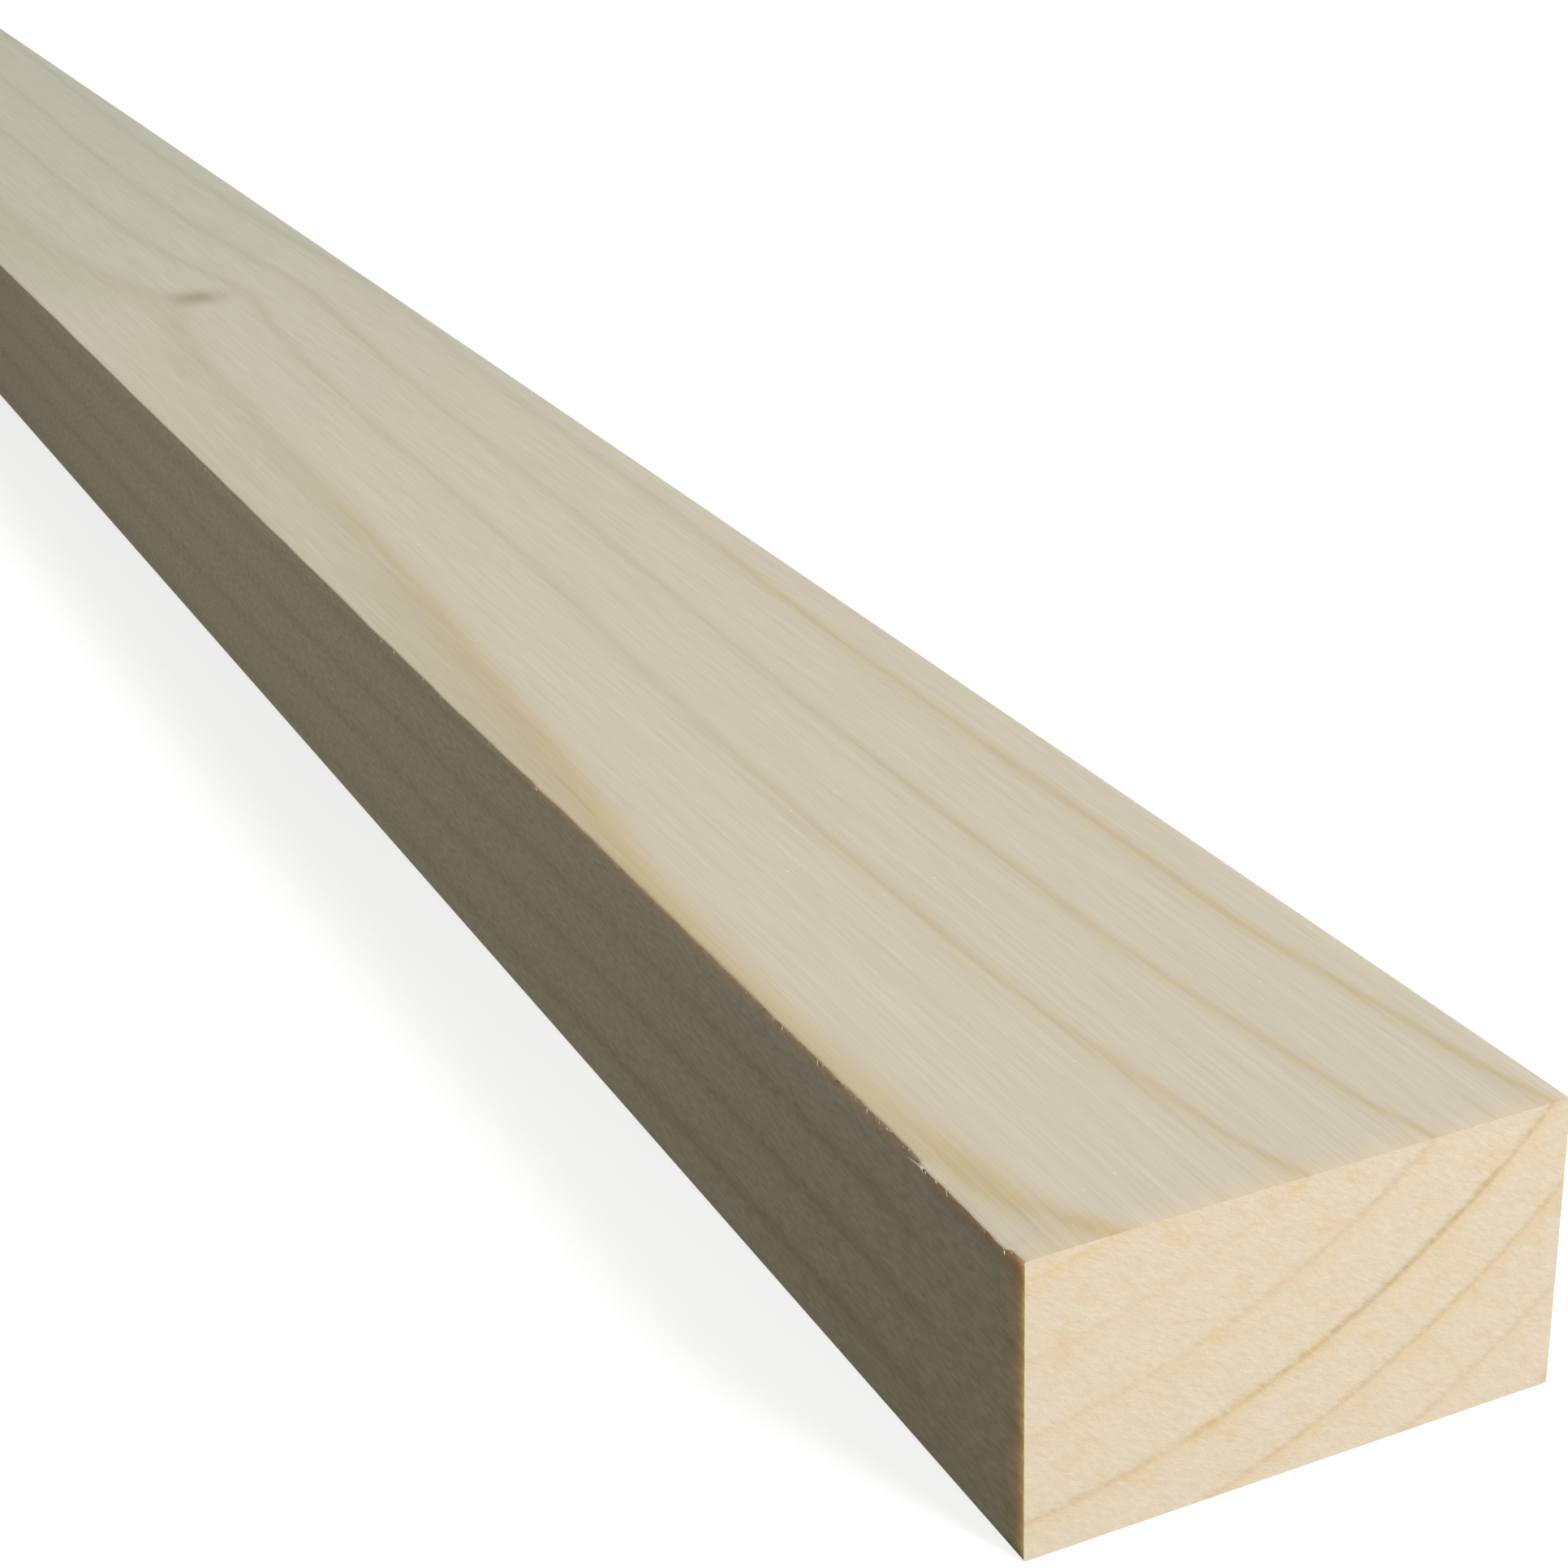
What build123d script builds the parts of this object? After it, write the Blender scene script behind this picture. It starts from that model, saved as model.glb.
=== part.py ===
"""Planed softwood batten: one straight length of spruce, planed on four sides and sawn square at both ends.

The cross section is drawn across the grain and carried along the length in one piece.
The planer leaves the four long edges barely broken. The two ends stay as the saw left them, square and crisp.

Frame: X runs along the length, Y across the width and Z up through the thickness.
The origin is at the middle of the underside, on the surface that the plank lies on.
"""

import os

from build123d import *

# Driving dimensions, in millimetres.
stock_length = 1000.0
planed_width = 44.0
planed_thickness = 24.0
arris_radius = 0.3

# The section stands at the far sawn end, with its lower side on the floor and the length ahead of it.
far_end = -stock_length / 2
section_plane = Plane(origin=(far_end, 0, 0), x_dir=(0, 1, 0), z_dir=(1, 0, 0))
planed_section = RectangleRounded(
    planed_width,
    planed_thickness,
    arris_radius,
    align=(Align.CENTER, Align.MIN),
)

# The whole plank is that section carried from one sawn end to the other, with no joint along it.
plank = extrude(section_plane * planed_section, amount=stock_length)
plank.label = "plank"

os.makedirs("parts", exist_ok=True)
export_step(plank, "parts/plank.step")
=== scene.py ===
import math

import bpy
import numpy as np
from mathutils import Matrix, Vector


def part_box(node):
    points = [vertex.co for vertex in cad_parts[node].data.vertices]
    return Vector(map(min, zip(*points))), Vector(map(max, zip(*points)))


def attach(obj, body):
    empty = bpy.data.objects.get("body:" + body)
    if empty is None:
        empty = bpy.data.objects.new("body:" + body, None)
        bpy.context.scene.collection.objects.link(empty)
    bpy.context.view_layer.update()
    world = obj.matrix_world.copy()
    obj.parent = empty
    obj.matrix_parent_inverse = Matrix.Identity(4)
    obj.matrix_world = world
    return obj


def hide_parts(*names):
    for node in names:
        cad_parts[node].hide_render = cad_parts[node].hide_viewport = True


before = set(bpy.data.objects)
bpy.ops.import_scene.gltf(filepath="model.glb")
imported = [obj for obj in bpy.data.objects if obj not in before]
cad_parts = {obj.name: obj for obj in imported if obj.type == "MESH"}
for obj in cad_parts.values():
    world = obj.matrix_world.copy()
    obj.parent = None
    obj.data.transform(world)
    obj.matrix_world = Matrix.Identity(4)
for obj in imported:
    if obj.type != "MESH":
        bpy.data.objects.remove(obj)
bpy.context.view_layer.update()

# The plank: one length of pale softwood, cut from beside the heart of a log and planed on all four sides.
# The planer left its long edges sharp and a little woolly, and a fine saw cut both ends square.
mm = 0.001
plank_low, plank_high = (np.array(corner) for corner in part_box("plank"))
length, width, thickness = plank_high - plank_low
front_side = plank_low[1]
top_side = plank_high[2]
sawn_end = plank_high[0]

station_count = 560
nearest_station_share = 0.14
cells_across_width = 36
cells_across_thickness = 24
arris_radius = 0.2 * mm

# Places back from the sawn end, and how far the front top edge stands in from the side there.
# Below nothing it is a woolly lip that hangs out. The stretch between the lips lost a long sliver.
torn_places = np.array([
    0, 1.75, 2.0, 2.7, 4.2, 8, 11, 12.6, 13.9, 14.4, 17,
    72, 82, 84, 86.2, 87, 103, 105, 110, 300, 1000,
]) * mm
torn_depths = np.array([
    -0.05, -0.07, -0.4, -0.37, -0.3, -0.28, -0.28, -0.46, -0.46, -0.02, 0.05,
    0.0, -0.08, -0.24, -0.3, -0.12, -0.2, -0.4, -0.38, -0.42, -0.2,
]) * mm
torn_reach_on_top = 4.0 * mm
torn_reach_on_side = 0.7 * mm
lip_places = np.array([0, 1.75, 2.6, 11, 16]) * mm
lip_drops = np.array([0.05, 0.08, 0.18, 0.18, 0.0]) * mm
wool_depth = 0.045 * mm
wool_softness = 2
wool_bell_reach = 3 * wool_softness

edge_draw = np.random.default_rng(7)


def cosine_places(low, high, cells):
    """Places from low to high, close together at both ends: the middle less half the span times a cosine."""
    turn = np.linspace(0, math.pi, cells + 1)
    return (low + high) / 2 - (high - low) / 2 * np.cos(turn)


def graded_stations(count, first_share):
    """Places along the length, close together at the sawn end: the end less a share of line and cube."""
    step = np.linspace(0, 1, count + 1)
    return sawn_end - length * (first_share * step + (1 - first_share) * step**3)


def round_arris(y, z):
    """Moves points that lie in a corner square of the section out to the quarter circle in that square."""
    y_core = np.clip(y, plank_low[1] + arris_radius, plank_high[1] - arris_radius)
    z_core = np.clip(z, plank_low[2] + arris_radius, plank_high[2] - arris_radius)
    reach = np.hypot(y - y_core, z - z_core)
    in_corner = (y != y_core) & (z != z_core)
    pull = np.where(in_corner, arris_radius / np.maximum(reach, arris_radius), 1.0)
    return y_core + (y - y_core) * pull, z_core + (z - z_core) * pull


def woolly(count):
    """Seeded unevenness of unit size along the length: random steps smoothed by a bell some stations wide."""
    stations = np.arange(-wool_bell_reach, wool_bell_reach + 1)
    smoothing = np.exp(-0.5 * (stations / wool_softness) ** 2)
    steps = np.convolve(edge_draw.normal(size=count + len(smoothing) - 1), smoothing, mode="valid")
    return steps / steps.std()


def tear_front_arris(x, y, z, wool):
    """Moves the front top edge in or out, and down at the lip, fading by a square on the top and side."""
    depth = np.interp(sawn_end - x, torn_places, torn_depths) + wool_depth * wool
    drop = np.interp(sawn_end - x, lip_places, lip_drops)
    along_top = np.clip(1 - (y - front_side) / torn_reach_on_top, 0, 1) ** 2
    down_side = np.clip(1 - (top_side - z) / torn_reach_on_side, 0, 1) ** 2
    return y + depth * along_top * down_side, z - drop * along_top * down_side


y_places = cosine_places(plank_low[1], plank_high[1], cells_across_width)
z_places = cosine_places(plank_low[2], plank_high[2], cells_across_thickness)
x_stations = graded_stations(station_count, nearest_station_share)

# The loop round the section starts at the front bottom edge and goes under, up the back, over and down.
loop_y = np.concatenate([
    y_places[:-1],
    np.full(cells_across_thickness, y_places[-1]),
    y_places[:0:-1],
    np.full(cells_across_thickness, y_places[0]),
])
loop_z = np.concatenate([
    np.full(cells_across_width, z_places[0]),
    z_places[:-1],
    np.full(cells_across_width, z_places[-1]),
    z_places[:0:-1],
])
loop_count = len(loop_y)
skin_y, skin_z = round_arris(loop_y, loop_z)
skin_x, skin_y = np.broadcast_arrays(x_stations[:, None], skin_y[None, :])
skin_z = np.broadcast_to(skin_z, skin_x.shape)
skin_y, skin_z = tear_front_arris(skin_x, skin_y, skin_z, woolly(len(x_stations))[:, None])
skin = np.stack([skin_x, skin_y, skin_z], axis=-1).reshape(-1, 3)

row, column = np.meshgrid(np.arange(station_count), np.arange(loop_count), indexing="ij")
next_column = (column + 1) % loop_count
skin_faces = np.stack([
    row * loop_count + column,
    (row + 1) * loop_count + column,
    (row + 1) * loop_count + next_column,
    row * loop_count + next_column,
], axis=-1).reshape(-1, 4)


def end_cap(first_of_loop, first_new, x):
    """A flat grid that closes an end: the rim is the skin's own loop of points, and inner points are new."""
    numbers = np.empty((cells_across_width + 1, cells_across_thickness + 1), int)
    rim = first_of_loop + np.arange(loop_count)
    under, back, over = cells_across_width, cells_across_thickness, cells_across_width
    numbers[:-1, 0] = rim[:under]
    numbers[-1, :-1] = rim[under:under + back]
    numbers[:0:-1, -1] = rim[under + back:under + back + over]
    numbers[0, :0:-1] = rim[under + back + over:]
    inner_shape = (cells_across_width - 1, cells_across_thickness - 1)
    numbers[1:-1, 1:-1] = first_new + np.arange(inner_shape[0] * inner_shape[1]).reshape(inner_shape)
    y, z = np.meshgrid(y_places[1:-1], z_places[1:-1], indexing="ij")
    points = np.stack([np.full(inner_shape, x), y, z], axis=-1).reshape(-1, 3)
    faces = np.stack([numbers[:-1, :-1], numbers[1:, :-1], numbers[1:, 1:], numbers[:-1, 1:]], axis=-1)
    return points, faces.reshape(-1, 4)


near_points, near_faces = end_cap(0, len(skin), sawn_end)
far_points, far_faces = end_cap(station_count * loop_count, len(skin) + len(near_points), plank_low[0])
far_faces = far_faces[:, ::-1]

# Lifted fibres: fine hairs of wood that the planer raised along the front top edge, fast at their roots.
# Most stand near the sawn end. A few longer ones have a place of their own, and so has the splinter
# where the lip broke off.
loose_count = 110
fibre_segments = 5
fibre_sides = 4
fibre_taper = 0.85
crowded_share = 0.6
crowded_stretch = (9 * mm, 46 * mm)
scattered_stretch = (0 * mm, 330 * mm)
loose_reach_range = (0.2 * mm, 0.7 * mm)
loose_radius_range = (0.025 * mm, 0.05 * mm)
loose_lean_range = (0.4, 1.0)
loose_out_range = (0.1, 0.5)
loose_droop_range = (0.1, 0.5)
loose_sink_range = (0 * mm, 0.2 * mm)
placed_back = np.array([2.3, 13.4, 13.6, 18.6, 19.5, 22.5, 26.6, 27.1, 30.4, 39.0, 40.2, 85.5, 104.0]) * mm
placed_reach = np.array([0.5, 2.2, 1.7, 1.4, 0.8, 0.9, 1.2, 0.7, 1.0, 1.1, 0.8, 1.0, 1.2]) * mm
placed_lean = np.array([0.7, -1.0, -1.0, -0.9, 0.6, 0.5, -0.9, 0.3, 0.6, -0.9, 0.7, -0.9, -0.9])
placed_out = np.array([0.3, 0.05, 0.02, 0.3, 0.3, 0.35, 0.3, 0.4, 0.35, 0.25, 0.3, 0.15, 0.15])
placed_droop = np.array([0.5, 0.03, 0.06, 0.15, 0.2, 0.2, 0.15, 0.3, 0.2, 0.15, 0.2, 0.1, 0.1])
placed_radius = np.array([
    0.12, 0.2, 0.14, 0.09, 0.07, 0.08, 0.09, 0.06, 0.08, 0.09, 0.07, 0.08, 0.09,
]) * mm
placed_sink = np.array([0.1, 0.06, 0.16, 0.05, 0.05, 0.05, 0.05, 0.1, 0.05, 0.05, 0.1, 0.05, 0.05]) * mm


def lifted_fibres(back, reach, radius, lean, out, droop, sink):
    """Tapered hairs: a root on the edge plus a heading times the way along, less a droop by its square."""
    hair_values = (back, reach, radius, lean, out, droop, sink)
    back, reach, radius, lean, out, droop, sink = (values[:, None, None] for values in hair_values)
    way = np.linspace(0, 1, fibre_segments + 1)[None, :, None]
    turn = np.sign(lean) * np.linspace(0, 2 * math.pi, fibre_sides, endpoint=False)
    thick = radius * (1 - fibre_taper * way)
    root_y = front_side + np.interp(back, torn_places, torn_depths) + radius
    root_z = top_side - sink - radius
    x = sawn_end - back + reach * lean * way
    y = root_y - reach * out * way + thick * np.cos(turn)
    z = root_z - reach * droop * way**2 + thick * np.sin(turn)
    return np.stack(np.broadcast_arrays(x, y, z), axis=-1)


crowded = edge_draw.random(loose_count) < crowded_share
crowded_back = edge_draw.uniform(*crowded_stretch, loose_count)
scattered_back = edge_draw.uniform(*scattered_stretch, loose_count)
loose_reach = edge_draw.uniform(*loose_reach_range, loose_count)
loose_radius = edge_draw.uniform(*loose_radius_range, loose_count)
loose_heading = edge_draw.choice([-1, 1], loose_count)
loose_lean = loose_heading * edge_draw.uniform(*loose_lean_range, loose_count)
loose_out = edge_draw.uniform(*loose_out_range, loose_count)
loose_droop = edge_draw.uniform(*loose_droop_range, loose_count)
loose_sink = edge_draw.uniform(*loose_sink_range, loose_count)
hairs = lifted_fibres(
    back=np.concatenate([placed_back, np.where(crowded, crowded_back, scattered_back)]),
    reach=np.concatenate([placed_reach, loose_reach]),
    radius=np.concatenate([placed_radius, loose_radius]),
    lean=np.concatenate([placed_lean, loose_lean]),
    out=np.concatenate([placed_out, loose_out]),
    droop=np.concatenate([placed_droop, loose_droop]),
    sink=np.concatenate([placed_sink, loose_sink]),
)
hair_points = hairs.reshape(-1, 3)
hair_first = len(skin) + len(near_points) + len(far_points)
hair, part, side = np.meshgrid(
    np.arange(len(hairs)), np.arange(fibre_segments), np.arange(fibre_sides), indexing="ij")
hair_row = (hair * (fibre_segments + 1) + part) * fibre_sides + hair_first
next_side = (side + 1) % fibre_sides
hair_faces = np.stack([
    hair_row + side,
    hair_row + next_side,
    hair_row + fibre_sides + next_side,
    hair_row + fibre_sides + side,
], axis=-1).reshape(-1, 4)
hair_number = np.arange(len(hairs))[:, None] * (fibre_segments + 1) * fibre_sides + hair_first
hair_roots = hair_number + np.arange(fibre_sides)[::-1]
hair_tips = hair_number + fibre_segments * fibre_sides + np.arange(fibre_sides)

points = np.concatenate([skin, near_points, far_points, hair_points])
faces = np.concatenate([skin_faces, near_faces, far_faces, hair_faces, hair_roots, hair_tips])
timber_mesh = bpy.data.meshes.new("plank_timber")
timber_mesh.from_pydata(points.tolist(), [], faces.tolist())

# The wood inside: the log's growth rings lie round its heart, which runs above and in front of the plank.
# The heart wanders a little along the log, and each ring bends outwards where a branch grew through it.
heart_y = front_side - 6.9 * mm
heart_z = plank_low[2] + 70.8 * mm
heart_places = np.array([0, 7.5, 12, 30, 60, 100, 150, 200, 250, 330, 450, 600, 750, 880, 1000]) * mm
heart_sideways = np.array([
    0, -0.27, -0.6, -2.2, -2.7, -4.1, -3.5, -3.8, -1.6, -4.1, -3.0, 0.6, 2.0, 0.4, -0.6,
]) * mm
heart_upwards = np.array([
    0, 0.92, 0.99, 1.03, 0.9, -0.63, -1.75, -2.7, -1.9, -2.0, -2.6, -4.0, -2.0, -3.4, -2.4,
]) * mm
ring_radii = np.array([36.8, 42.9, 48.8, 55.0, 61.1, 68.05, 73.95, 80.4, 86.6, 92.8]) * mm
ring_numbers = np.arange(len(ring_radii), dtype=float)
half_ring = 0.5
branch_places = np.array([266.5, 607, 846]) * mm
branch_turns = np.radians([-57.8, -76.0, -50.0])
branch_radii = np.array([2.6, 1.8, 2.2]) * mm
branch_stretch = 1.35
branch_bulge = 3.8 * mm
branch_bulge_reach = 10.7 * mm


def smooth_through(at, places, values):
    """A smooth line through given points: on each span a cubic, with slopes from the points beside it."""
    slopes = np.gradient(values, places)
    span = np.clip(np.searchsorted(places, at) - 1, 0, len(places) - 2)
    step = places[span + 1] - places[span]
    way = np.clip((at - places[span]) / step, 0, 1)
    rise = way * way * (3 - 2 * way)
    start_bend = way * (1 - way) ** 2 * step * slopes[span]
    end_bend = way * way * (way - 1) * step * slopes[span + 1]
    return values[span] * (1 - rise) + values[span + 1] * rise + start_bend + end_bend


def grow_rings(places):
    """Distance from the wandering heart, less a bulge that fades away from each branch.

    Also returns the turn round the heart, and how far aside of each branch's axis a place lies.
    """
    back = sawn_end - places[:, 0]
    across = places[:, 1] - heart_y - smooth_through(back, heart_places, heart_sideways)
    up = places[:, 2] - heart_z - smooth_through(back, heart_places, heart_upwards)
    radius = np.hypot(across, up)
    asides = []
    for place, turn, core in zip(branch_places, branch_turns, branch_radii):
        aside = across * math.sin(turn) - up * math.cos(turn)
        off_axis = np.hypot((back - place) / branch_stretch, aside)
        radius = radius - branch_bulge * core / branch_radii[0] * np.exp(-off_axis / branch_bulge_reach)
        asides.append(aside)
    return radius, np.arctan2(up, across), np.stack(asides, axis=-1)


ring_radius, ring_turn, branch_asides = grow_rings(points)
ring_place = np.interp(ring_radius, ring_radii, ring_numbers)
grain_place = np.stack([points[:, 0], ring_radius, ring_turn * ring_radii.mean()], axis=-1)
back_from_end = sawn_end - points[:, 0]
below_top = top_side - points[:, 2]
on_top = points[:, 2] > top_side - arris_radius


def by_ring(values):
    """A value for each ring, with a straight run from each ring to the next."""
    return np.interp(ring_place, ring_numbers, values)


def by_way_back(places, values):
    """Given values at places back from the sawn end, with a straight run between them."""
    return np.interp(back_from_end, places, values)


def bell(way, reach):
    """1 in the middle, falling off by e to the minus square of the way over the reach."""
    return np.exp(-(way / reach) ** 2)


# Ring lines on the planed faces: dark late wood, one line for each ring, paler and softer further back.
# The broad line by the front edge is uneven, and faint on the lip.
lines_on_face = np.array([0.5, 0.6, 1.0, 0.68, 0.72, 0.77, 0.65, 0.55, 0.55, 0.55])
pale_stretch = np.array([40, 180]) * mm
pale_shares = np.array([0.8, 0.8, 0.5, 0.85, 0.85, 0.75, 0.8, 0.8, 0.8, 0.8])
band_ring = 2
band_places = np.array([1.5, 4, 8, 12, 20, 34, 60]) * mm
band_shares = np.array([1.0, 0.68, 0.9, 1.0, 0.78, 0.88, 1.0])
lip_pale_places = np.array([2, 3, 13, 15]) * mm
lip_pale_shares = np.array([0.0, 0.85, 0.85, 0.0])
lip_pale_reach = 1.3 * mm
line_spreads = np.array([1.0, 1.0, 1.5, 1.12, 1.12, 1.4, 1.0, 1.0, 1.0, 1.0])
soften_places = np.array([0, 15, 40, 130, 250, 1000]) * mm
soften_shares = np.array([0.9, 1.05, 1.1, 1.35, 1.6, 1.3])
line_warm_until = np.array([60, 60, 170, 30, 30, 120, 60, 60, 60, 60]) * mm
line_warm_fade = 70 * mm

face_line = by_ring(lines_on_face) * (1 - by_way_back(pale_stretch, (0, 1)) * (1 - by_ring(pale_shares)))
on_band = np.abs(ring_place - band_ring) < half_ring
face_line = np.where(on_band, face_line * by_way_back(band_places, band_shares), face_line)
on_lip = np.clip(1 - (points[:, 1] - front_side) / lip_pale_reach, 0, 1)
face_line = face_line * (1 - on_lip * by_way_back(lip_pale_places, lip_pale_shares))
line_spread = by_ring(line_spreads) * by_way_back(soften_places, soften_shares)
line_warmth = np.clip(1 - (back_from_end - by_ring(line_warm_until)) / line_warm_fade, 0, 1)

# Tones of the top face: browner wood inside the broad line, and a greyer stretch further back.
# Beside each sawn end the wide faces are painted warmer and brighter: a painted glow of light from the end.
inner_places = np.array([0, 16, 40, 60, 110, 150, 210, 262, 320, 400, 600]) * mm
inner_shares = np.array([0.3, 0.3, 0.8, 1.0, 1.0, 0.65, 0.3, 0.1, 0.65, 0.65, 0.0])
inner_edge = 0.06
grey_places = np.array([120, 300, 430, 580]) * mm
grey_shares = np.array([0.0, 1.0, 1.0, 0.0])
painted_rim_glow_reach = 1.8 * mm

inside_band = np.clip((band_ring - ring_place) / inner_edge, 0, 1)
inner_tone = inside_band * by_way_back(inner_places, inner_shares) * on_top
grey_tone = by_way_back(grey_places, grey_shares) * on_top
from_end = np.minimum(points[:, 0] - plank_low[0], sawn_end - points[:, 0])
# Painted glow beside each sawn end, fading over a couple of millimetres.
painted_rim_glow = bell(from_end, painted_rim_glow_reach)

# Ring lines on the sawn ends: thin and brown, each with a soft amber glow on its outer side.
# They are strongest a little behind the middle of the width.
lines_on_end = np.array([0.1, 0.1, 0.1, 0.1, 0.22, 0.58, 0.34, 0.22, 0.3, 0.3])
glow_on_end = np.array([0.5, 0.5, 1.0, 0.4, 0.6, 1.0, 0.9, 0.5, 0.5, 0.5])
line_middle = front_side + 30 * mm
line_reach = 11 * mm
line_faint = 0.45

in_middle = line_faint + (1 - line_faint) * bell(points[:, 1] - line_middle, line_reach)
end_line = by_ring(lines_on_end) * in_middle
end_glow = by_ring(glow_on_end)

# Light in the narrow sides: it soaks in beside the sawn ends and a little under the top edges.
# On the side, painted light adds to it: amber beside the sawn ends, a pale glow under the torn edge, and a
# reddish painted shade under the lip.
soak_from_end = 2.8 * mm
soak_end_power = 4
soak_from_arris = 1.8 * mm
arris_soak_places = np.array([0, 14, 18, 90, 130]) * mm
arris_soaks = np.array([0.55, 0.55, 0.5, 0.5, 0.2])
painted_arris_glow_places = np.array([14, 18, 90, 130]) * mm
painted_arris_glow_shares = np.array([0.0, 1.0, 1.0, 0.4])
painted_arris_glow_reach = 1.4 * mm
painted_lip_shade_places = np.array([2, 4, 12, 14.4]) * mm
painted_lip_shade_shares = np.array([0.0, 1.0, 1.0, 0.0])
painted_lip_shade_drop = 1.1 * mm
painted_lip_shade_reach = 0.6 * mm

from_side = np.minimum(points[:, 1] - front_side, plank_high[1] - points[:, 1])
from_arris = np.hypot(np.maximum(from_side, 0), below_top)
end_soak = np.exp(-(from_end / soak_from_end) ** soak_end_power)
arris_soak = by_way_back(arris_soak_places, arris_soaks) * bell(from_arris, soak_from_arris)
soak = np.maximum(end_soak, arris_soak)
# Painted light: a pale glow on the narrow side just under the torn top edge.
painted_arris_glow = by_way_back(painted_arris_glow_places, painted_arris_glow_shares) * bell(below_top, painted_arris_glow_reach)
# Painted shade: a reddish, darker band on the side just under the lip, where the lip shades it.
painted_lip_shade = by_way_back(painted_lip_shade_places, painted_lip_shade_shares)
painted_lip_shade = painted_lip_shade * bell(below_top - painted_lip_shade_drop, painted_lip_shade_reach)


def keep_on_points(mesh, name, values):
    """Stores one number, or one vector, for each point of the mesh under that name."""
    kind, field = ("FLOAT_VECTOR", "vector") if values.ndim > 1 else ("FLOAT", "value")
    kept = mesh.attributes.new(name, kind, "POINT")
    kept.data.foreach_set(field, np.ascontiguousarray(values, dtype=np.float32).ravel())


keep_on_points(timber_mesh, "ring_place", ring_place)
keep_on_points(timber_mesh, "grain_place", grain_place)
keep_on_points(timber_mesh, "branch_asides", branch_asides)
keep_on_points(timber_mesh, "face_line", face_line)
keep_on_points(timber_mesh, "line_spread", line_spread)
keep_on_points(timber_mesh, "line_warmth", line_warmth)
keep_on_points(timber_mesh, "inner_tone", inner_tone)
keep_on_points(timber_mesh, "grey_tone", grey_tone)
keep_on_points(timber_mesh, "painted_rim_glow", painted_rim_glow)
keep_on_points(timber_mesh, "end_line", end_line)
keep_on_points(timber_mesh, "end_glow", end_glow)
keep_on_points(timber_mesh, "soak", soak)
keep_on_points(timber_mesh, "end_soak", end_soak)
keep_on_points(timber_mesh, "painted_arris_glow", painted_arris_glow)
keep_on_points(timber_mesh, "painted_lip_shade", painted_lip_shade)

# The unrolled skin: a flat map of the plank's surface, on which its colours can be baked.
# The long sides fill most of it, length across and girth up, with the two ends side by side above them.
# The lifted fibres share a thin strip between.
skin_map_top = 0.78
hair_map_bottom = 0.785
hair_map_height = 0.004
cap_map_bottom = 0.8
cap_map_height = 0.19
cap_map_width = 0.48
cap_map_margin = 0.01
far_cap_shift = 0.5


def unrolled_map():
    """Map places for each face corner: the way along and round for the skin, and the section for the ends."""
    steps = np.hypot(np.diff(loop_y, append=loop_y[0]), np.diff(loop_z, append=loop_z[0]))
    girth = np.concatenate([[0], np.cumsum(steps)])
    round_share = girth / girth[-1] * skin_map_top
    along_share = (sawn_end - x_stations) / length
    flat_row, flat_column = row.ravel(), column.ravel()
    skin_u = along_share[np.stack([flat_row, flat_row + 1, flat_row + 1, flat_row], axis=-1)]
    skin_v = round_share[np.stack([flat_column, flat_column, flat_column + 1, flat_column + 1], axis=-1)]
    caps = points[np.concatenate([near_faces, far_faces])]
    cap_u = (caps[:, :, 1] - plank_low[1]) / width * cap_map_width + cap_map_margin
    cap_u[len(near_faces):] += far_cap_shift
    cap_v = cap_map_bottom + (caps[:, :, 2] - plank_low[2]) / thickness * cap_map_height
    hair_corners = np.concatenate([hair_faces, hair_roots, hair_tips])
    hair_u = (points[hair_corners][:, :, 0] - plank_low[0]) / length
    hair_v = hair_map_bottom + hair_map_height * (hair_corners % 2)
    u = np.concatenate([skin_u, cap_u, hair_u]).ravel()
    v = np.concatenate([skin_v, cap_v, hair_v]).ravel()
    return np.stack([u, v], axis=-1)


bake_map = timber_mesh.uv_layers.new(name="OFBake")
bake_map.uv.foreach_set("vector", unrolled_map().astype(np.float32).ravel())

# Planed wood: bare, matt and pale, with straight fibres and no finish on it.
# On the narrow sides light soaks in near the sawn ends and the top edges, and comes out amber.
dull_shine = 0.05
planed_roughness = 0.7
noise_middle = 0.5
fine_detail = 3.0
fine_noise_roughness = 0.7
medium_scale = (18, 700, 700)
medium_tint = (0.95, 0.945, 0.925, 1)
broad_scale = (7, 90, 90)
broad_tint = (0.985, 0.98, 0.95, 1)
speck_scale = (1300, 2000, 2000)
speck_stops = [(0.86, 0.0), (0.93, 1.0)]
speck_colour = (0.9, 0.86, 0.78, 1)
wander_share = 0.05
hairy_share = 0.04
inner_tint = (0.875, 0.855, 0.80, 1)
knot_tint = (0.70, 0.62, 0.57, 1)
planed_bump = 0.25
planed_bump_depth = 0.1 * mm

face_fibres = ((0.855, 0.773, 0.647, 1), (0.69, 0.611, 0.472, 1))
face_fibre_contrast = 0.4
face_fibre_scale = (80, 2600, 2600)
face_warm_line = (0.885, 0.795, 0.61, 1)
face_cool_line = (0.875, 0.855, 0.81, 1)
face_line_stops = [
    (0.3, 0.0), (0.4, 0.12), (0.455, 0.45), (0.488, 1.0), (0.5, 1.0),
    (0.52, 0.75), (0.55, 0.22), (0.59, 0.05), (0.65, 0.0),
]
# Painted light: a warm glow on the wide faces beside each sawn end, as of light soaking in from the end.
painted_rim_glow_tint = (1.09, 1.03, 0.975, 1)
grey_tint = (0.925, 0.985, 0.99, 1)

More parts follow.
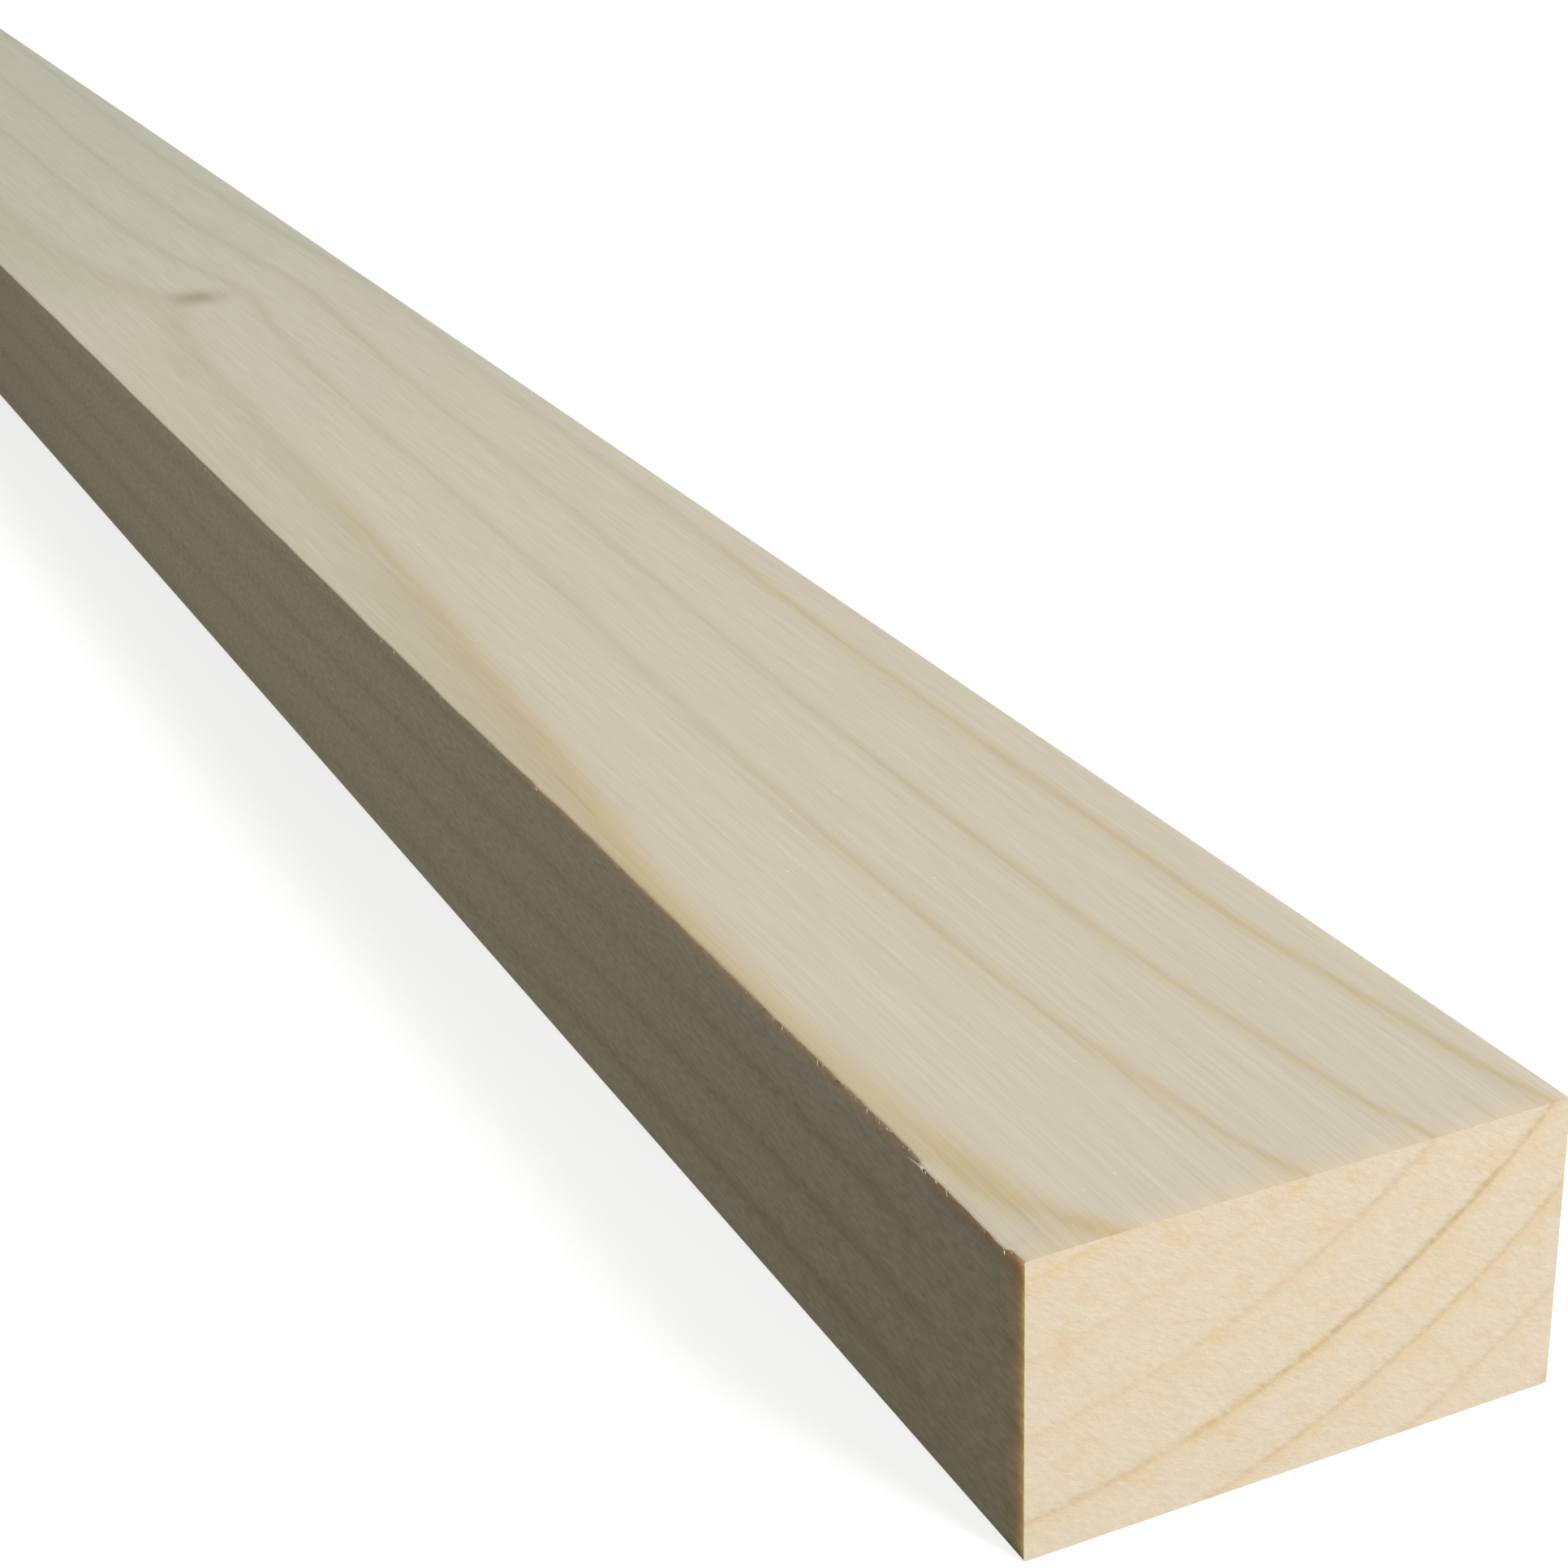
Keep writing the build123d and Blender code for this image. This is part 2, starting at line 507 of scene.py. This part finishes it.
edge_fibres = ((0.855, 0.768, 0.645, 1), (0.69, 0.607, 0.47, 1))
edge_fibre_contrast = 0.15
edge_fibre_scale = (700, 2400, 2400)
edge_line = (0.84, 0.83, 0.81, 1)
edge_line_stops = [(0.3, 0.0), (0.4, 0.35), (0.47, 1.0), (0.51, 1.0), (0.57, 0.35), (0.66, 0.0)]
# Painted light on the narrow sides: amber beside the sawn ends, a pale glow under the torn top edge, and a
# reddish shade under the lip.
painted_side_amber_tint = (1.0, 0.97, 0.84, 1)
painted_arris_glow_tint = (1.1, 1.06, 1.16, 1)
painted_lip_shade_tint = (0.93, 0.8, 0.8, 1)
soak_depth = 2.8 * mm
soak_spread = (1.0, 0.62, 0.1)


def wire(tree, kind, inputs=None, **properties):
    """Adds a node, sets its properties, and feeds each input with a value or with another node's output."""
    made = tree.nodes.new(kind)
    for name, value in properties.items():
        setattr(made, name, value)
    for key, value in (inputs or {}).items():
        if isinstance(value, bpy.types.NodeSocket):
            tree.links.new(value, made.inputs[key])
        else:
            made.inputs[key].default_value = value
    return made


def kept_value(tree, name, output="Fac"):
    """The number or vector that the mesh keeps on its points under that name."""
    return wire(tree, "ShaderNodeAttribute", attribute_name=name).outputs[output]


def streaks(tree, place, scale, detail=2.0, roughness=0.5):
    """Noise stretched along the grain: scale counts its patches in each metre, along each axis."""
    stretched = wire(tree, "ShaderNodeMapping", {"Vector": place, "Scale": scale}).outputs["Vector"]
    noise = wire(tree, "ShaderNodeTexNoise", {
        "Vector": stretched, "Scale": 1.0, "Detail": detail, "Roughness": roughness,
    })
    return noise.outputs["Fac"]


def sums(tree, operation, *values):
    """One sum of the named kind on its values."""
    return wire(tree, "ShaderNodeMath", dict(enumerate(values)), operation=operation).outputs[0]


def ramp(tree, value, stops):
    """A grey ramp with a value at each stop."""
    made = wire(tree, "ShaderNodeValToRGB", {"Fac": value})
    elements = made.color_ramp.elements
    while len(elements) < len(stops):
        elements.new(1.0)
    for element, (place, shade) in zip(elements, stops):
        element.position = place
        element.color = (shade, shade, shade, 1.0)
    return made.outputs["Color"]


def tint(tree, share, colour, by, kind="MULTIPLY"):
    """Mixes the second colour into the first, by multiplying or by plain mixing, by a share."""
    inputs = {"Factor": share, "A": colour, "B": by}
    return wire(tree, "ShaderNodeMix", inputs, data_type="RGBA", blend_type=kind).outputs["Result"]


def wood_material(name, roughness):
    """A new material with a matt wood surface. Returns it with its tree and surface node."""
    material = bpy.data.materials.new(name)
    material.use_nodes = True
    tree = material.node_tree
    surface = tree.nodes["Principled BSDF"]
    surface.inputs["Roughness"].default_value = roughness
    surface.inputs["Specular IOR Level"].default_value = dull_shine
    return material, tree, surface


def knots(tree, place):
    """1 in the middle of each branch, falling off by e to the minus square of the way over its own radius."""
    along = wire(tree, "ShaderNodeSeparateXYZ", {0: place}).outputs["X"]
    asides = wire(tree, "ShaderNodeSeparateXYZ", {0: kept_value(tree, "branch_asides", "Vector")}).outputs
    darkest = 0.0
    for branch, core, aside in zip(branch_places, branch_radii, asides):
        off_branch = sums(tree, "SUBTRACT", along, sawn_end - branch)
        lengthwise = sums(tree, "DIVIDE", off_branch, branch_stretch * core)
        sideways = sums(tree, "DIVIDE", aside, core)
        sideways_square = sums(tree, "MULTIPLY", sideways, sideways)
        squares = sums(tree, "MULTIPLY_ADD", lengthwise, lengthwise, sideways_square)
        darkest = sums(tree, "MAXIMUM", darkest, sums(tree, "POWER", 1 / math.e, squares))
    return darkest


def planed_grain(name, fibres, fibre_contrast, fibre_scale, warm_line, cool_line, line_stops, light_soaks_in):
    """Planed wood: straight pale fibres, a darker line where each year's growth ended, and small knots."""
    material, tree, surface = wood_material(name, planed_roughness)
    place = wire(tree, "ShaderNodeTexCoord").outputs["Object"]
    fine = streaks(tree, place, fibre_scale, fine_detail, fine_noise_roughness)
    medium = streaks(tree, place, medium_scale)
    broad = streaks(tree, kept_value(tree, "grain_place", "Vector"), broad_scale)
    specks = streaks(tree, place, speck_scale, detail=0.0)
    wander = sums(tree, "MULTIPLY_ADD", medium, wander_share, -wander_share / 2)
    hairy = sums(tree, "MULTIPLY_ADD", fine, hairy_share, -hairy_share / 2)
    year = sums(tree, "ADD", sums(tree, "ADD", kept_value(tree, "ring_place"), wander), hairy)
    nearest_line = sums(tree, "WRAP", year, half_ring, -half_ring)
    off_line = sums(tree, "DIVIDE", nearest_line, kept_value(tree, "line_spread"))
    late = ramp(tree, sums(tree, "ADD", off_line, half_ring), line_stops)
    line = sums(tree, "MULTIPLY", late, kept_value(tree, "face_line"))
    line_colour = tint(tree, kept_value(tree, "line_warmth"), cool_line, warm_line, "MIX")
    fibre_stops = [(noise_middle - fibre_contrast, 0.0), (noise_middle + fibre_contrast, 1.0)]
    colour = tint(tree, ramp(tree, fine, fibre_stops), *fibres, "MIX")
    colour = tint(tree, medium, colour, medium_tint)
    colour = tint(tree, broad, colour, broad_tint)
    colour = tint(tree, kept_value(tree, "inner_tone"), colour, inner_tint)
    colour = tint(tree, line, colour, line_colour)
    colour = tint(tree, ramp(tree, specks, speck_stops), colour, speck_colour, "MIX")
    colour = tint(tree, knots(tree, place), colour, knot_tint)
    if light_soaks_in:
        # Painted amber light beside the sawn ends, on top of the light that really soaks in.
        colour = tint(tree, kept_value(tree, "end_soak"), colour, painted_side_amber_tint)
        # Painted glow of light from the top, just under the torn top edge.
        colour = tint(tree, kept_value(tree, "painted_arris_glow"), colour, painted_arris_glow_tint)
        # Painted reddish shade under the lip.
        colour = tint(tree, kept_value(tree, "painted_lip_shade"), colour, painted_lip_shade_tint)
        surface.inputs["Subsurface Scale"].default_value = soak_depth
        surface.inputs["Subsurface Radius"].default_value = soak_spread
        tree.links.new(kept_value(tree, "soak"), surface.inputs["Subsurface Weight"])
    else:
        # Painted light: beside each sawn end the wide faces are tinted warmer and brighter, as a glow from
        # the end.
        colour = tint(tree, kept_value(tree, "painted_rim_glow"), colour, painted_rim_glow_tint)
        colour = tint(tree, kept_value(tree, "grey_tone"), colour, grey_tint)
    tree.links.new(colour, surface.inputs["Base Color"])
    bump_inputs = {"Strength": planed_bump, "Distance": planed_bump_depth, "Height": fine}
    bump = wire(tree, "ShaderNodeBump", bump_inputs)
    tree.links.new(bump.outputs["Normal"], surface.inputs["Normal"])
    return material


# Sawn end grain: the open ends of the fibres, warmer than the faces, with thin brown ring lines.
# The saw combed its fuzz one way across each end.
sawn_roughness = 0.8
comb_turn = math.radians(33)
fuzz_scale = (1, 1300, 2900)
fuzz_noise_roughness = 0.6
fuzz_colours = ((0.899, 0.78, 0.619, 1), (0.76, 0.637, 0.455, 1))
fleck_scale = (1, 380, 800)
fleck_stops = [(0.52, 0.0), (0.75, 1.0)]
fleck_tint = (0.99, 0.945, 0.84, 1)
cloud_scale = (1, 110, 110)
cloud_tint = (0.985, 0.975, 0.96, 1)
shake_share = 0.06
broken_gain = 1.6
broken_least = 0.2
end_line_stops = [
    (0.0, 1.0), (0.024, 0.8), (0.04, 0.45), (0.056, 0.22), (0.09, 0.06), (0.16, 0.0),
    (0.87, 0.0), (0.92, 0.24), (0.944, 0.45), (0.97, 0.85), (1.0, 1.0),
]
end_line_tint = (0.72, 0.60, 0.48, 1)
end_glow_stops = [(0.0, 1.0), (0.12, 0.55), (0.32, 0.0), (0.94, 0.0), (1.0, 1.0)]
end_glow_tint = (1.0, 0.95, 0.84, 1)
sawn_bump = 0.3
sawn_bump_depth = 0.12 * mm


def sawn_end_grain():
    """Sawn ends: combed fuzz and flecks, a soft cloud over them, and a broken glowing line for each ring."""
    material, tree, surface = wood_material("sawn_end_grain", sawn_roughness)
    place = wire(tree, "ShaderNodeTexCoord").outputs["Object"]
    combing = wire(tree, "ShaderNodeMapping", {"Vector": place, "Rotation": (comb_turn, 0, 0)})
    combed = combing.outputs["Vector"]
    fuzz = streaks(tree, combed, fuzz_scale, roughness=fuzz_noise_roughness)
    flecks = streaks(tree, combed, fleck_scale)
    cloud = streaks(tree, place, cloud_scale)
    shaken = sums(tree, "MULTIPLY_ADD", fuzz, shake_share, -shake_share / 2)
    year_share = sums(tree, "FRACT", sums(tree, "ADD", kept_value(tree, "ring_place"), shaken))
    broken = sums(tree, "MULTIPLY_ADD", fuzz, broken_gain, broken_least)
    broken_line = sums(tree, "MULTIPLY", ramp(tree, year_share, end_line_stops), broken)
    line = sums(tree, "MULTIPLY", broken_line, kept_value(tree, "end_line"))
    glow = sums(tree, "MULTIPLY", ramp(tree, year_share, end_glow_stops), kept_value(tree, "end_glow"))
    colour = tint(tree, fuzz, *fuzz_colours, "MIX")
    colour = tint(tree, ramp(tree, flecks, fleck_stops), colour, fleck_tint)
    colour = tint(tree, cloud, colour, cloud_tint)
    colour = tint(tree, glow, colour, end_glow_tint)
    colour = tint(tree, line, colour, end_line_tint)
    tree.links.new(colour, surface.inputs["Base Color"])
    bump_inputs = {"Strength": sawn_bump, "Distance": sawn_bump_depth, "Height": fuzz}
    bump = wire(tree, "ShaderNodeBump", bump_inputs)
    tree.links.new(bump.outputs["Normal"], surface.inputs["Normal"])
    return material


# The wide sides and the fibres take the first material, the narrow sides the second, the ends the third.
# The skin is smooth all round, and its rim at each end is crisp.
wide_side, narrow_side, open_end = range(3)
timber_mesh.materials.append(planed_grain(
    "planed_face", face_fibres, face_fibre_contrast, face_fibre_scale,
    face_warm_line, face_cool_line, face_line_stops, light_soaks_in=False))
timber_mesh.materials.append(planed_grain(
    "planed_edge", edge_fibres, edge_fibre_contrast, edge_fibre_scale,
    edge_line, edge_line, edge_line_stops, light_soaks_in=True))
timber_mesh.materials.append(sawn_end_grain())
cap_first = len(skin_faces)
cap_last = cap_first + len(near_faces) + len(far_faces)
around = column.ravel()
on_back = (around >= cells_across_width) & (around < cells_across_width + cells_across_thickness)
on_front = around >= 2 * cells_across_width + cells_across_thickness
material_number = np.full(len(faces), wide_side, np.int32)
material_number[:cap_first] = np.where(on_back | on_front, narrow_side, wide_side)
material_number[cap_first:cap_last] = open_end
timber_mesh.polygons.foreach_set("material_index", material_number)
timber_mesh.polygons.foreach_set("use_smooth", material_number != open_end)
edge_ends = np.empty((len(timber_mesh.edges), 2), np.int32)
timber_mesh.edges.foreach_get("vertices", edge_ends.ravel())
near_rim = (edge_ends < loop_count).all(axis=1)
far_rim = ((edge_ends >= len(skin) - loop_count) & (edge_ends < len(skin))).all(axis=1)
timber_mesh.edges.foreach_set("use_edge_sharp", near_rim | far_rim)
timber_mesh.update()
plank_timber = bpy.data.objects.new("plank_timber", timber_mesh)
bpy.context.scene.collection.objects.link(plank_timber)
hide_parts("plank")
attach(plank_timber, "root")

# The floor: a plain pale sheet that the plank lies on, white to the eye apart from the plank's shadow.
# It throws little light back up, as the shaded side of the plank shows.
floor_half = 30.0
floor_drop = 0.05 * mm
floor_glow = (0.74, 1.0)
floor_glow_reach = (0.35, 1.0)
floor_white = (0.52, 0.52, 0.52, 1)
floor_bounce = (0.03, 0.03, 0.03, 1)
floor_mesh = bpy.data.meshes.new("floor")
floor_corners = np.array([[-1, -1], [1, -1], [1, 1], [-1, 1]]) * floor_half
floor_points = np.column_stack([floor_corners, np.full(len(floor_corners), plank_low[2] - floor_drop)])
floor_mesh.from_pydata(floor_points.tolist(), [], [[0, 1, 2, 3]])
floor_material = bpy.data.materials.new("pale_floor")
floor_material.use_nodes = True
floor_tree = floor_material.node_tree
floor_tree.nodes.remove(floor_tree.nodes["Principled BSDF"])


def seen_directly(tree):
    """1 for rays that show what lies behind the object: from the eye, off gloss and through glass."""
    path = wire(tree, "ShaderNodeLightPath").outputs
    mirrored = sums(tree, "MAXIMUM", path["Is Glossy Ray"], path["Is Transmission Ray"])
    return sums(tree, "MAXIMUM", path["Is Camera Ray"], mirrored)


white_sheet = wire(floor_tree, "ShaderNodeBsdfDiffuse", {"Color": floor_white}).outputs[0]
floor_place = wire(floor_tree, "ShaderNodeTexCoord").outputs["Object"]
floor_way = wire(floor_tree, "ShaderNodeVectorMath", {0: floor_place}, operation="LENGTH").outputs["Value"]
glow_level = wire(floor_tree, "ShaderNodeMapRange", {
    "Value": floor_way, "From Min": floor_glow_reach[0], "From Max": floor_glow_reach[1],
    "To Min": floor_glow[0], "To Max": floor_glow[1],
}).outputs["Result"]
sheet_glow = wire(floor_tree, "ShaderNodeEmission", {"Strength": glow_level}).outputs[0]
bright_sheet = wire(floor_tree, "ShaderNodeAddShader", {0: white_sheet, 1: sheet_glow}).outputs[0]
dull_sheet = wire(floor_tree, "ShaderNodeBsdfDiffuse", {"Color": floor_bounce}).outputs[0]
floor_surface = wire(floor_tree, "ShaderNodeMixShader", {
    0: seen_directly(floor_tree), 1: dull_sheet, 2: bright_sheet,
})
floor_tree.links.new(floor_surface.outputs[0], floor_tree.nodes["Material Output"].inputs["Surface"])
floor_mesh.materials.append(floor_material)
floor = bpy.data.objects.new("floor", floor_mesh)
bpy.context.scene.collection.objects.link(floor)

# The light: a large soft lamp beyond the sawn end and a little behind the plank lights that end and the top.
# Two weaker, cooler ones stand high and low beyond the far end, and a small one on the shaded side.
# The room adds a dim grey, and is white where it is seen directly.
near_end_middle = Vector((sawn_end, 0.0, thickness / 2))
main_lamp_way = Vector((0.75, 0.38, 0.53)).normalized()
main_lamp_distance = 1.8
main_lamp_size = 0.86
main_lamp_power = 40.5
main_lamp_colour = (1.0, 1.0, 1.0)
far_lamp_place = (-1.1, 0.45, 1.2)
far_lamp_aim = (-0.3, 0.0, 0.012)
far_lamp_size = 1.0
far_lamp_power = 7.6
far_lamp_colour = (0.84, 0.96, 1.0)
low_lamp_place = (-0.8, -0.2, 0.35)
low_lamp_aim = (-0.4, 0.0, 0.012)
low_lamp_size = 0.4
low_lamp_power = 1.2
low_lamp_colour = (0.94, 1.0, 1.0)
side_lamp_place = (0.335, -0.33, 0.16)
side_lamp_aim = (0.335, 0.0, 0.012)
side_lamp_size = 0.25
side_lamp_power = 0.205
side_lamp_colour = (1.0, 1.0, 0.79)
room_grey = (0.078, 0.078, 0.078, 1)
room_white = (1, 1, 1, 1)


def soft_lamp(name, place, aim, size, power, colour):
    """A round soft lamp at a place, turned to face a point."""
    data = bpy.data.lights.new(name, "AREA")
    data.shape = "DISK"
    data.size = size
    data.energy = power
    data.color = colour
    lamp = bpy.data.objects.new(name, data)
    lamp.location = place
    lamp.rotation_euler = (Vector(place) - Vector(aim)).to_track_quat("Z", "Y").to_euler()
    bpy.context.scene.collection.objects.link(lamp)


main_lamp_place = near_end_middle + main_lamp_way * main_lamp_distance
soft_lamp("main_lamp", main_lamp_place, near_end_middle, main_lamp_size, main_lamp_power, main_lamp_colour)
soft_lamp("far_lamp", far_lamp_place, far_lamp_aim, far_lamp_size, far_lamp_power, far_lamp_colour)
soft_lamp("low_lamp", low_lamp_place, low_lamp_aim, low_lamp_size, low_lamp_power, low_lamp_colour)
soft_lamp("side_lamp", side_lamp_place, side_lamp_aim, side_lamp_size, side_lamp_power, side_lamp_colour)

room = bpy.data.worlds.new("pale_room")
room.use_nodes = True
room_tree = room.node_tree
room_fill = room_tree.nodes["Background"]
room_fill.inputs["Color"].default_value = room_grey
room_seen = wire(room_tree, "ShaderNodeBackground", {"Color": room_white, "Strength": 1.0})
room_mix = wire(room_tree, "ShaderNodeMixShader", {
    0: seen_directly(room_tree), 1: room_fill.outputs[0], 2: room_seen.outputs[0],
})
room_tree.links.new(room_mix.outputs[0], room_tree.nodes["World Output"].inputs["Surface"])
bpy.context.scene.world = room

# The camera: close to the sawn end, above the shaded side, looking down the length through a long lens.
# Its place is measured from the front bottom corner of that end. The two headings are the picture's right
# and down.
end_corner = Vector((sawn_end, front_side, plank_low[2]))
camera_place = end_corner + Vector((143.717, -82.903, 132.082)) * mm
camera_right = Vector((0.433505, 0.900674, -0.029323))
camera_down = Vector((0.356032, -0.201073, -0.912585))
picture_pixels = 1932
focal_pixels = 3726.5
sensor_width = 36.0
nearest_seen = 0.01
farthest_seen = 100.0
camera_data = bpy.data.cameras.new("camera")
camera_data.sensor_width = sensor_width
camera_data.lens = focal_pixels / picture_pixels * sensor_width
camera_data.clip_start = nearest_seen
camera_data.clip_end = farthest_seen
camera = bpy.data.objects.new("camera", camera_data)
camera_back = camera_right.cross(-camera_down).normalized()
camera_up = camera_back.cross(camera_right).normalized()
axes = Matrix((camera_right.normalized(), camera_up, camera_back)).transposed()
camera.matrix_world = Matrix.Translation(camera_place) @ axes.to_4x4()
bpy.context.scene.collection.objects.link(camera)
bpy.context.scene.camera = camera

bpy.context.scene.view_settings.view_transform = "Standard"
